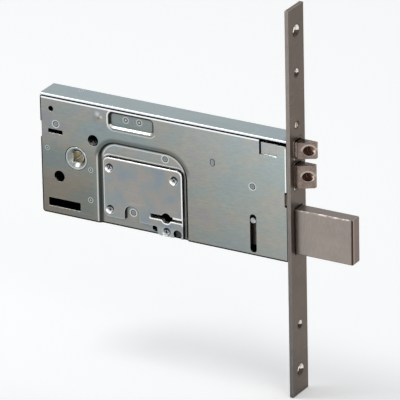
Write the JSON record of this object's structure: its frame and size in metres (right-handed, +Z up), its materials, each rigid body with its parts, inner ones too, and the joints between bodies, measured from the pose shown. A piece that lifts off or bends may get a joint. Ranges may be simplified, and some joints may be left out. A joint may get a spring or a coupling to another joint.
{
  "type": "mortise lock",
  "caption": "Mortise lock for a double-bit key: steel case, long faceplate, square deadbolt, two bevelled latches, lever pack, handle follower and a slider for a vertical rod.",
  "frame": {"origin": "on the faceplate's front face, in the middle of the case's thickness and of its height", "axes": "+X out of the door's edge, the way the bolt and latches point; +Y from the cover to the back of the case; +Z up along the faceplate"},
  "size_m": [0.2491, 0.022, 0.2937],
  "materials": {
    "zinc_sheet": "zinc-plated steel sheet, satin with a faint blue and straw tint",
    "hardened_plate": "zinc-plated hardened steel, satin",
    "screw_steel": "bright zinc-plated steel",
    "faceplate_steel": "bronze-grey plated steel, fine vertical brushing",
    "bolt_steel": "nickel-plated steel, fine vertical grinding marks",
    "cast_latch": "bronze-grey plated casting, glossy",
    "cast_zinc": "bright zinc casting",
    "inner_steel": "plain steel, satin",
    "spring_steel": "oiled spring steel wire"
  },
  "bodies": {
    "case": {"case_tray": "zinc_sheet", "case_cover": "zinc_sheet", "guard_plate": "hardened_plate", "guard_screw_1": "screw_steel", "guard_screw_2": "screw_steel", "guard_screw_3": "screw_steel", "guard_screw_4": "screw_steel", "faceplate": "faceplate_steel", "faceplate_bracket": "faceplate_steel", "faceplate_screw_top": "screw_steel", "faceplate_screw_bottom": "screw_steel", "pillar_rear": "inner_steel", "pillar_top": "inner_steel", "pillar_key": "inner_steel", "pillar_front": "inner_steel", "tail_guide_post": "inner_steel", "latch_bracket": "inner_steel", "latch_spring_upper": "spring_steel", "latch_spring_lower": "spring_steel", "follower_spring": "spring_steel", "follower_spring_anchor": "inner_steel", "lever_spring_block": "inner_steel", "lever_spring_1": "spring_steel", "lever_spring_2": "spring_steel", "lever_spring_3": "spring_steel", "lever_spring_4": "spring_steel", "lever_spring_5": "spring_steel", "lever_spring_6": "spring_steel"},
    "deadbolt": {"deadbolt_head": "bolt_steel", "deadbolt_tail": "inner_steel", "deadbolt_fence": "inner_steel", "deadbolt_cam_pin": "inner_steel", "tail_rivet_1": "inner_steel", "tail_rivet_2": "inner_steel"},
    "slider": {"rod_slider": "zinc_sheet", "rod_slider_pin": "screw_steel"},
    "follower": {"follower_hub": "cast_zinc"},
    "puller": {"latch_puller": "zinc_sheet"},
    "upper_latch": {"latch_upper": "cast_latch"},
    "lower_latch": {"latch_lower": "cast_latch"},
    "tumbler_1": {"lever_1": "inner_steel"},
    "tumbler_2": {"lever_2": "inner_steel"},
    "tumbler_3": {"lever_3": "inner_steel"},
    "tumbler_4": {"lever_4": "inner_steel"},
    "tumbler_5": {"lever_5": "inner_steel"},
    "tumbler_6": {"lever_6": "inner_steel"}
  },
  "joints": [
    {"name": "deadbolt_slide", "type": "slide", "parent": "case", "child": "deadbolt", "axis": [-1, 0, 0], "range_m": [0, 0.045]},
    {"name": "slider_slide", "type": "slide", "parent": "case", "child": "slider", "axis": [0, 0, -1], "range_m": [0, 0.0222]},
    {"name": "follower_turn", "type": "hinge", "parent": "case", "child": "follower", "pos_m": [-0.17445, 0, 0.0003], "axis": [0, -1, 0], "range_deg": [0, 33], "stiffness_Nm_per_rad": 0.9, "springref_deg": -21.77, "deforming": ["follower_spring"]},
    {"name": "puller_slide", "type": "slide", "parent": "case", "child": "puller", "axis": [-1, 0, 0], "range_m": [0, 0.013]},
    {"name": "upper_latch_slide", "type": "slide", "parent": "case", "child": "upper_latch", "axis": [-1, 0, 0], "range_m": [0, 0.013], "deforming": ["latch_spring_upper"]},
    {"name": "lower_latch_slide", "type": "slide", "parent": "case", "child": "lower_latch", "axis": [-1, 0, 0], "range_m": [0, 0.013], "deforming": ["latch_spring_lower"]},
    {"name": "tumbler_1_lift", "type": "slide", "parent": "case", "child": "tumbler_1", "axis": [0, 0, 1], "range_m": [0, 0.002], "stiffness_N_per_m": 150, "springref_m": -0.003, "deforming": ["lever_spring_1"]},
    {"name": "tumbler_2_lift", "type": "slide", "parent": "case", "child": "tumbler_2", "axis": [0, 0, 1], "range_m": [0, 0.002], "stiffness_N_per_m": 150, "springref_m": -0.003, "deforming": ["lever_spring_2"]},
    {"name": "tumbler_3_lift", "type": "slide", "parent": "case", "child": "tumbler_3", "axis": [0, 0, 1], "range_m": [0, 0.002], "stiffness_N_per_m": 150, "springref_m": -0.003, "deforming": ["lever_spring_3"]},
    {"name": "tumbler_4_lift", "type": "slide", "parent": "case", "child": "tumbler_4", "axis": [0, 0, 1], "range_m": [0, 0.002], "stiffness_N_per_m": 150, "springref_m": -0.003, "deforming": ["lever_spring_4"]},
    {"name": "tumbler_5_lift", "type": "slide", "parent": "case", "child": "tumbler_5", "axis": [0, 0, 1], "range_m": [0, 0.002], "stiffness_N_per_m": 150, "springref_m": -0.003, "deforming": ["lever_spring_5"]},
    {"name": "tumbler_6_lift", "type": "slide", "parent": "case", "child": "tumbler_6", "axis": [0, 0, 1], "range_m": [0, 0.002], "stiffness_N_per_m": 150, "springref_m": -0.003, "deforming": ["lever_spring_6"]}
  ],
  "couplings": [
    {"joint": "slider_slide", "follows": "deadbolt_slide", "ratio": 0.49333},
    {"joint": "puller_slide", "follows": "follower_turn", "m_per_rad": 0.02255},
    {"joint": "upper_latch_slide", "follows": "follower_turn", "m_per_rad": 0.02255},
    {"joint": "lower_latch_slide", "follows": "follower_turn", "m_per_rad": 0.02255}
  ]
}
